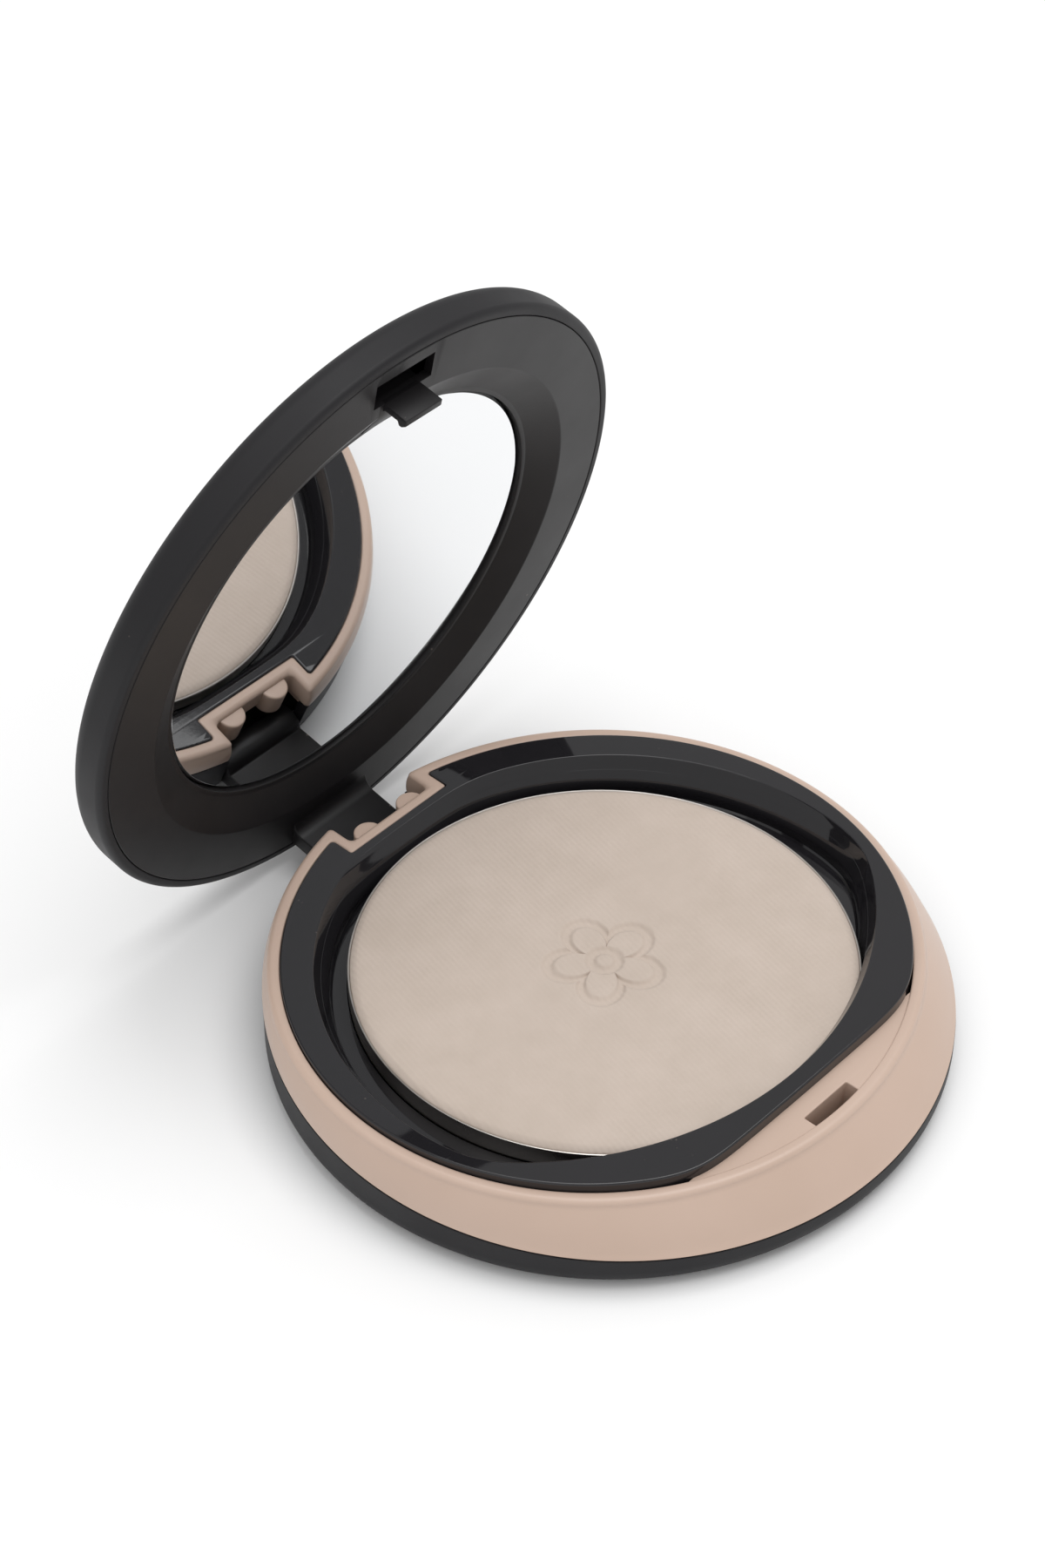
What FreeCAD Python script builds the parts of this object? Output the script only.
# Round powder compact, lid standing open.
# Millimetres. Origin: middle of the base's underside. +Z up, hinge towards +Y, latch towards -Y.
# The lid is drawn closed and then swung open about the hinge pin, so its fits are checked in both places.
import FreeCAD, Part
import math
import os

V = FreeCAD.Vector
X_AXIS = V(1, 0, 0)
Z_AXIS = V(0, 0, 1)

# ---- driving dimensions ----------------------------------------------------------------------
TOP_Z = 10.7            # gloss bezel's top face, where the lid lands
FOOT_R = 37.9           # plan radius of the lower edge, at the hinge
FOOT_FRONT_INSET = 1.9  # how much nearer the centre the lower edge is at the latch
CREST_R = 37.5          # plan radius of the rim's outer crest, at the hinge
CREST_FRONT_INSET = 5.9
INSET_POWER = 1.85      # how quickly the inset grows from hinge to latch
OUTLINE_POINTS = 40

OPEN_DEG = 78.0         # lid angle in the stored pose, from closed
HINGE_Y = 36.1
HINGE_Z = 3.3
PIN_R = 0.6
PIN_HALF = 7.6
PIN_CLEARANCE = 0.05
HUB_R = 2.15            # the leg's rounded end, about the pin

WALL = 1.4
SEAM_Z = 5.5            # seam between black base and pale shell, at the middle of the plan
SEAM_SLOPE = 0.05
RIM_Z = TOP_Z - 0.69    # pale rim's flat, at the middle of the plan
RIM_SLOPE = 0.018
RIM_BAND = 1.5          # width of the pale band round the bezel
RIM_SHOULDER = 0.75
SHOULDER_DROP = 0.55

NOTCH_HALF = 6.05       # hinge notch in the back of the body
NOTCH_Y = 33.7
NOTCH_FLOOR_Z = 0.9
RIB_R = 1.7             # two upright half-round ribs on the notch's wall
RIB_X = 3.35
RIB_TOP_Z = TOP_Z - 0.75
RIB_BOTTOM_Z = 6.6

BEZEL_FRONT_Y = -26.3   # straight front edge, behind the latch deck
BEZEL_DEPTH = 4.9
LIP = 1.5               # thickness of the bezel over the pan's front edge
LEDGE_Z = TOP_Z - 4.4    # floor of the well, round the pan
FIT = 0.06              # gap between pieces that slide together on assembly

WELL_SIDE_R = 32.3      # well opening: a wide circle ...
WELL_FRONT_R = 38.8     # ... cut by a flatter one towards the latch
WELL_FRONT_CENTRE_Y = 14.5
WELL_BACK_Y = 31.2
WELL_CORNER = 9.0
WELL_CHAMFER = 1.7      # width of the bevel round the opening
WELL_CHAMFER_DEPTH = 3.2

PAN_R = 27.5
PAN_Y = 1.8
PAN_RIM_Z = TOP_Z - 2.0
PAN_WALL = 0.3
PAN_HEIGHT = 3.1
POWDER_RISE = 0.4       # powder stands this much above the pan's edge
POWDER_BEVEL = 0.9
PAN_GLUE = 0.25
SHELF = 1.15            # pale shell's floor under the pan

SLOT_Y = -29.4
SLOT_HALF_X = 3.4
SLOT_HALF_Y = 1.0
DECK_Z = TOP_Z - 1.35
DECK = 1.0

LID_R = 37.8
LID_Y = 1.7
LID_GAP = 0.25
LID_THICK = 4.8
LID_SKIN = 0.8
LID_EDGE_ROUND = 2.0
FACE_R = 36.5           # inner frame's outer radius, set into the cover
FACET_OUTER_R = 30.2
FACET_INNER_R = 26.5
FACET_DEPTH = 1.9
MIRROR_DEPTH = 2.4
MIRROR_R = 25.9
MIRROR_THICK = 1.0
MIRROR_BEVEL = 0.35
MIRROR_GLUE = 0.15
MIRROR_BACKING = 0.4     # frame's floor behind the mirror
FRAME_PLATE = 1.0

LEG_HALF = 5.75
LEG_INNER_Y = 33.95
LEG_OUTER_Y = 37.5
RIB_CLEARANCE = 0.15

HOOK_HALF = 2.6
HOOK_Y = SLOT_Y - 0.2   # middle of the hook's arm
HOOK_ARM = 0.8
HOOK_REACH = 3.3
BARB = 0.45
BARB_HEIGHT = 0.9
POCKET_HALF = 4.1
POCKET_LENGTH = 3.2

LABEL_R = 23.0
LABEL_THICK = 0.12
LABEL_RECESS = 0.3

POST_CIRCLE = 24.0      # support posts between the base's floor and the shelf
POST_COUNT = 6
POST_R = 1.6


# ---- outlines ---------------------------------------------------------------------------------
def seam_z(y):
    return SEAM_Z + SEAM_SLOPE * y


def rim_z(y):
    return RIM_Z + RIM_SLOPE * y


def plan_wire(radius, front_inset, height):
    """Closed outline: nearly round at the hinge, drawn in towards the latch."""
    points = []
    for i in range(OUTLINE_POINTS):
        turn = 2 * math.pi * i / OUTLINE_POINTS
        nearness = ((1 - math.sin(turn)) / 2) ** INSET_POWER
        r = radius - front_inset * nearness
        y = r * math.sin(turn)
        points.append(V(r * math.cos(turn), y, height(y)))
    curve = Part.BSplineCurve()
    curve.interpolate(Points=points, PeriodicFlag=True)
    return Part.Wire([curve.toShape()])


def prism(radius, front_inset, z_low, z_high):
    face = Part.Face(plan_wire(radius, front_inset, lambda y: z_low))
    return face.extrude(V(0, 0, z_high - z_low))


def disc(radius, z_low, z_high, y=0.0):
    return Part.makeCylinder(radius, z_high - z_low, V(0, y, z_low))


def block(x_half, y_low, y_high, z_low, z_high):
    return Part.makeBox(2 * x_half, y_high - y_low, z_high - z_low, V(-x_half, y_low, z_low))


def upright_edges(shape, keep):
    """Vertical edges of a shape whose plan position passes the test."""
    found = []
    for edge in shape.Edges:
        box = edge.BoundBox
        if box.ZLength > 0.5 and box.XLength < 0.01 and box.YLength < 0.01:
            if keep(box.XMin, box.YMin):
                found.append(edge)
    return found


def rounded_block(x_half, y_low, y_high, z_low, z_high, radius):
    """A block with its two corners nearest the body's centre rounded."""
    shape = block(x_half, y_low, y_high, z_low, z_high)
    return shape.makeFillet(radius, upright_edges(shape, lambda x, y: y < y_low + 0.01))


def below_plane(height, reach=60.0, depth=40.0):
    """Everything under the tilted plane z = height(y)."""
    corners = [V(-reach, -reach, height(-reach)), V(-reach, reach, height(reach)),
               V(-reach, reach, -depth), V(-reach, -reach, -depth)]
    side = Part.Face(Part.makePolygon(corners + corners[:1]))
    return side.extrude(V(2 * reach, 0, 0))


# ---- base -------------------------------------------------------------------------------------
def make_base_shell():
    """Soft-touch lower cup, cut off by the sloping seam."""
    body = prism(FOOT_R, FOOT_FRONT_INSET, 0, 12)
    underside = [e for e in body.Edges if e.BoundBox.ZMax < 0.01]
    body = body.makeFillet(2.6, underside)
    body = body.common(below_plane(seam_z))
    body = body.cut(prism(FOOT_R - WALL, FOOT_FRONT_INSET, WALL, 12))
    step = math.radians(360 / POST_COUNT)
    for i in range(POST_COUNT):
        place = V(POST_CIRCLE * math.cos(step * i), POST_CIRCLE * math.sin(step * i), WALL - 0.2)
        body = body.fuse(Part.makeCylinder(POST_R, shelf_low() - place.z, place))
    bosses = block(PIN_HALF + 1.8, NOTCH_Y + 0.05, 40, WALL - 0.2, shelf_low() - 0.1)
    body = body.fuse(bosses.common(prism(FOOT_R - 0.5, FOOT_FRONT_INSET, 0, 12)))
    body = body.cut(block(NOTCH_HALF + 0.05, NOTCH_Y - 0.3, 45, NOTCH_FLOOR_Z, 12))
    body = body.cut(pin_slot(PIN_HALF, PIN_R))
    body = body.cut(disc(LABEL_R + 0.3, -1, LABEL_RECESS))
    return body.removeSplitter()


def pin_slot(x_half, half_width):
    """Round-bottomed slot, open at the top, that the hinge pin drops into."""
    round_end = Part.makeCylinder(half_width, 2 * x_half, V(-x_half, HINGE_Y, HINGE_Z), X_AXIS)
    return round_end.fuse(block(x_half, HINGE_Y - half_width, HINGE_Y + half_width, HINGE_Z, 12))


def shelf_low():
    return PAN_RIM_Z - PAN_HEIGHT - PAN_GLUE - SHELF


def make_body_shell():
    """Pale upper shell: sloping wall, rim, latch deck, pan shelf and hinge ears in one moulding."""
    sections = [plan_wire(FOOT_R, FOOT_FRONT_INSET, seam_z),
                plan_wire(CREST_R, CREST_FRONT_INSET, lambda y: rim_z(y) - SHOULDER_DROP),
                plan_wire(CREST_R - RIM_SHOULDER, CREST_FRONT_INSET, rim_z)]
    outer = Part.makeLoft(sections, True, True)
    # Inside the base the shell carries on down: a shelf under the pan, and a skirt that locates it.
    inner = prism(FOOT_R - WALL - FIT, FOOT_FRONT_INSET, WALL, 12)
    shell = outer.fuse(inner.common(below_plane(lambda y: seam_z(y) + 0.4)))
    shell = shell.cut(prism(FOOT_R - 2 * WALL, FOOT_FRONT_INSET, 0, shelf_low()))
    shell = shell.cut(bezel_pocket())
    shell = shell.cut(block(SLOT_HALF_X, SLOT_Y - SLOT_HALF_Y, SLOT_Y + SLOT_HALF_Y, 0, 14))
    shell = shell.cut(block(SLOT_HALF_X + 1.2, SLOT_Y - 1.6, BEZEL_FRONT_Y - 0.8, 0, DECK_Z - DECK))
    # The back wall behind the leg, and two tongues that hold the pin down in its slots.
    shell = shell.cut(block(PIN_HALF + 1.9, NOTCH_Y, 45, 0, shelf_low() - 0.05))
    wall = block(PIN_HALF + 1.8, NOTCH_Y - 1.6, NOTCH_Y, WALL, shelf_low() + SHELF)
    tongue_half = PIN_R - FIT
    tongues = block(PIN_HALF - FIT, HINGE_Y - tongue_half, HINGE_Y + tongue_half, HINGE_Z,
                    seam_z(HINGE_Y) + 0.3)
    shell = shell.fuse(wall).fuse(tongues)
    shell = shell.cut(rounded_block(NOTCH_HALF, NOTCH_Y, 45, -1, 14, 0.8))
    for side in (-1, 1):
        rib = Part.makeCylinder(RIB_R, RIB_TOP_Z - RIB_BOTTOM_Z, V(side * RIB_X, NOTCH_Y, RIB_BOTTOM_Z))
        shell = shell.fuse(rib.cut(block(10, 0, NOTCH_Y - 0.4, 0, 14)))
    pin_hole = Part.makeCylinder(PIN_R, 2 * PIN_HALF, V(-PIN_HALF, HINGE_Y, HINGE_Z), X_AXIS)
    return shell.cut(pin_hole).removeSplitter()


def bezel_outline(offset, z_low, z_high):
    """Prism of the bezel's plan: rim outline, notched at the hinge and cut straight at the latch."""
    shape = prism(CREST_R - RIM_BAND - offset, CREST_FRONT_INSET, z_low, z_high)
    notch = rounded_block(NOTCH_HALF + 1.25 + offset, NOTCH_Y - 1.5 - offset, 45, z_low, z_high, 1.2)
    shape = shape.cut(notch)
    front = block(50, -50, BEZEL_FRONT_Y + offset, z_low, z_high)
    shape = shape.cut(front)
    corners = upright_edges(shape, lambda x, y: y < BEZEL_FRONT_Y + offset + 0.01 and abs(x) > 5)
    return shape.makeFillet(1.6, corners)


def bezel_pocket():
    """Room in the pale shell for the bezel, and above the latch deck."""
    pocket = bezel_outline(0.0, TOP_Z - BEZEL_DEPTH, 14)
    pan_room = disc(PAN_R + 0.3, shelf_low() + SHELF, 14, PAN_Y)
    deck_room = prism(CREST_R - RIM_BAND, CREST_FRONT_INSET, DECK_Z, 14).common(block(50, -50, 0, 0, 20))
    return pocket.fuse(pan_room).fuse(deck_room)


def well_prism(z_low, z_high, grow=0.0):
    """The well's opening: side circle, flatter front circle, flat back, rounded corners."""
    shape = disc(WELL_SIDE_R + grow, z_low, z_high)
    shape = shape.common(disc(WELL_FRONT_R + grow, z_low, z_high, WELL_FRONT_CENTRE_Y))
    shape = shape.common(block(50, -50, WELL_BACK_Y + grow, z_low, z_high))
    corners = upright_edges(shape, lambda x, y: True)
    return shape.makeFillet(WELL_CORNER, corners)


def well_wire(z, grow):
    prism_here = well_prism(z, z + 1, grow)
    return [f for f in prism_here.Faces if f.BoundBox.ZMax < z + 0.01][0].OuterWire


def make_bezel():
    """Gloss bezel: bevelled opening, a ledge round the pan, and a lip over the pan's front edge."""
    bezel = bezel_outline(FIT, TOP_Z - BEZEL_DEPTH, TOP_Z)
    bezel = bezel.cut(well_prism(LEDGE_Z, TOP_Z + 1, -WELL_CHAMFER))
    over = 0.1
    slope = WELL_CHAMFER / WELL_CHAMFER_DEPTH
    wires = [well_wire(TOP_Z - WELL_CHAMFER_DEPTH, -WELL_CHAMFER), well_wire(TOP_Z + over, over * slope)]
    bezel = bezel.cut(Part.makeLoft(wires, True, True))
    bezel = bezel.cut(disc(PAN_R + 0.1, 0, TOP_Z - LIP, PAN_Y))
    return bezel.removeSplitter()


def make_pan():
    low = PAN_RIM_Z - PAN_HEIGHT
    cup = disc(PAN_R, low, PAN_RIM_Z, PAN_Y)
    return cup.cut(disc(PAN_R - PAN_WALL, low + PAN_WALL, PAN_RIM_Z + 1, PAN_Y))


def make_powder():
    low = PAN_RIM_Z - PAN_HEIGHT + PAN_WALL
    radius = PAN_R - PAN_WALL
    cake = disc(radius, low, PAN_RIM_Z - 0.15, PAN_Y)
    bevel_height = POWDER_RISE + 0.15
    bevel = Part.makeCone(radius, radius - POWDER_BEVEL, bevel_height, V(0, PAN_Y, PAN_RIM_Z - 0.15))
    return cake.fuse(bevel).removeSplitter()


def make_pan_glue():
    low = PAN_RIM_Z - PAN_HEIGHT - PAN_GLUE
    return disc(20.0, low, low + PAN_GLUE, PAN_Y)


def make_hinge_pin():
    return Part.makeCylinder(PIN_R, 2 * PIN_HALF, V(-PIN_HALF, HINGE_Y, HINGE_Z), X_AXIS)


def make_base_label():
    return disc(LABEL_R, LABEL_RECESS - LABEL_THICK, LABEL_RECESS)


# ---- lid, drawn closed ------------------------------------------------------------------------
FACE_Z = TOP_Z + LID_GAP
LID_TOP_Z = FACE_Z + LID_THICK


def revolved(profile):
    """Solid of revolution about the lid's own axis, from (radius, height) pairs."""
    points = [V(r, LID_Y, z) for r, z in profile]
    face = Part.Face(Part.makePolygon(points + points[:1]))
    return face.revolve(V(0, LID_Y, 0), Z_AXIS, 360)


def make_lid_cover():
    cover = disc(LID_R, FACE_Z, LID_TOP_Z, LID_Y)
    top_edge = [e for e in cover.Edges if e.BoundBox.ZMin > LID_TOP_Z - 0.01]
    cover = cover.makeFillet(LID_EDGE_ROUND, top_edge)
    low_edge = [e for e in cover.Edges if e.BoundBox.ZMax < FACE_Z + 0.01]
    cover = cover.makeFillet(0.7, low_edge)
    return cover.cut(disc(FACE_R + FIT, FACE_Z - 1, LID_TOP_Z - LID_SKIN, LID_Y))


def make_leg():
    """Hinge leg: rounded end about the pin, a thin blade past the ribs, and a hollow fillet to the frame."""
    blade_y = NOTCH_Y + RIB_R + RIB_CLEARANCE
    root = blade_y - LEG_INNER_Y
    top_z = FACE_Z + 0.5
    blade = block(LEG_HALF, blade_y, LEG_OUTER_Y, HINGE_Z, top_z)
    gusset = block(LEG_HALF, LEG_INNER_Y, blade_y + 0.1, FACE_Z - root, top_z)
    hollow = Part.makeCylinder(root, 2 * LEG_HALF, V(-LEG_HALF, LEG_INNER_Y, FACE_Z - root), X_AXIS)
    hub = Part.makeCylinder(HUB_R, 2 * LEG_HALF, V(-LEG_HALF, HINGE_Y, HINGE_Z), X_AXIS)
    hub = hub.common(block(LEG_HALF, LEG_INNER_Y, LEG_OUTER_Y, HINGE_Z - HUB_R, HINGE_Z + HUB_R))
    leg = blade.fuse(gusset.cut(hollow)).fuse(hub)
    bore_r = PIN_R + PIN_CLEARANCE
    return leg.cut(Part.makeCylinder(bore_r, 2 * LEG_HALF + 2, V(-LEG_HALF - 1, HINGE_Y, HINGE_Z), X_AXIS))


def make_hook():
    """Latch hook: a thin arm with a barb on its inner side."""
    arm = block(HOOK_HALF, HOOK_Y - HOOK_ARM / 2, HOOK_Y + HOOK_ARM / 2, FACE_Z - HOOK_REACH, FACE_Z + 0.5)
    tip_z = FACE_Z - HOOK_REACH
    y = HOOK_Y + HOOK_ARM / 2 - 0.05
    corners = [V(-HOOK_HALF, y, tip_z), V(-HOOK_HALF, y + BARB * 0.4, tip_z),
               V(-HOOK_HALF, y + BARB, tip_z + BARB_HEIGHT * 0.6),
               V(-HOOK_HALF, y + BARB, tip_z + BARB_HEIGHT), V(-HOOK_HALF, y, tip_z + BARB_HEIGHT)]
    barb = Part.Face(Part.makePolygon(corners + corners[:1])).extrude(V(2 * HOOK_HALF, 0, 0))
    return arm.fuse(barb)


def make_lid_frame():
    """Inner frame: flat ring, facet down to the mirror's recess, hook and hinge leg, all one moulding."""
    back = MIRROR_DEPTH + MIRROR_THICK + MIRROR_GLUE
    profile = [(FACE_R, 0), (FACET_OUTER_R, 0), (FACET_INNER_R, FACET_DEPTH), (MIRROR_R + 0.15, FACET_DEPTH),
               (MIRROR_R + 0.15, back), (0, back), (0, back + MIRROR_BACKING),
               (FACET_INNER_R + 1.2, back + MIRROR_BACKING),
               (FACET_OUTER_R + 1.0, FRAME_PLATE), (FACE_R - 1.0, FRAME_PLATE),
               (FACE_R - 1.0, 3.2), (FACE_R, 3.2)]
    frame = revolved([(r, FACE_Z + z) for r, z in profile])
    front_edge = HOOK_Y - HOOK_ARM / 2
    pocket = block(POCKET_HALF, front_edge - POCKET_LENGTH, front_edge, FACE_Z - 1,
                   FACE_Z + FRAME_PLATE + 0.1)
    frame = frame.cut(pocket)
    return frame.fuse(make_leg()).fuse(make_hook()).removeSplitter()


def make_mirror():
    low = FACE_Z + MIRROR_DEPTH
    glass = disc(MIRROR_R, low, low + MIRROR_THICK, LID_Y)
    face_edge = [e for e in glass.Edges if e.BoundBox.ZMax < low + 0.01]
    return glass.makeChamfer(MIRROR_BEVEL, face_edge)


def make_mirror_glue():
    low = FACE_Z + MIRROR_DEPTH + MIRROR_THICK
    return disc(22.0, low, low + MIRROR_GLUE, LID_Y)


def swung_open(shape, angle=OPEN_DEG):
    opened = shape.copy()
    opened.rotate(V(0, HINGE_Y, HINGE_Z), X_AXIS, -angle)
    return opened


BASE_PIECES = {
    "base_shell": make_base_shell,
    "body_shell": make_body_shell,
    "gloss_bezel": make_bezel,
    "powder_pan": make_pan,
    "pressed_powder": make_powder,
    "pan_adhesive": make_pan_glue,
    "hinge_pin": make_hinge_pin,
    "base_label": make_base_label,
}
LID_PIECES = {
    "lid_cover": make_lid_cover,
    "lid_frame": make_lid_frame,
    "mirror": make_mirror,
    "mirror_adhesive": make_mirror_glue,
}


def main():
    os.makedirs("parts", exist_ok=True)
    pieces = {name: make() for name, make in BASE_PIECES.items()}
    pieces.update({name: swung_open(make()) for name, make in LID_PIECES.items()})
    for name, shape in pieces.items():
        if shape.ShapeType == "Compound" and len(shape.Solids) == 1:
            shape = shape.Solids[0]
        box = shape.BoundBox
        print("%-16s solids %d  volume %8.1f mm3  valid %s  z %.2f to %.2f"
              % (name, len(shape.Solids), shape.Volume, shape.isValid(), box.ZMin, box.ZMax))
        shape.exportStep("parts/" + name + ".step")


main()
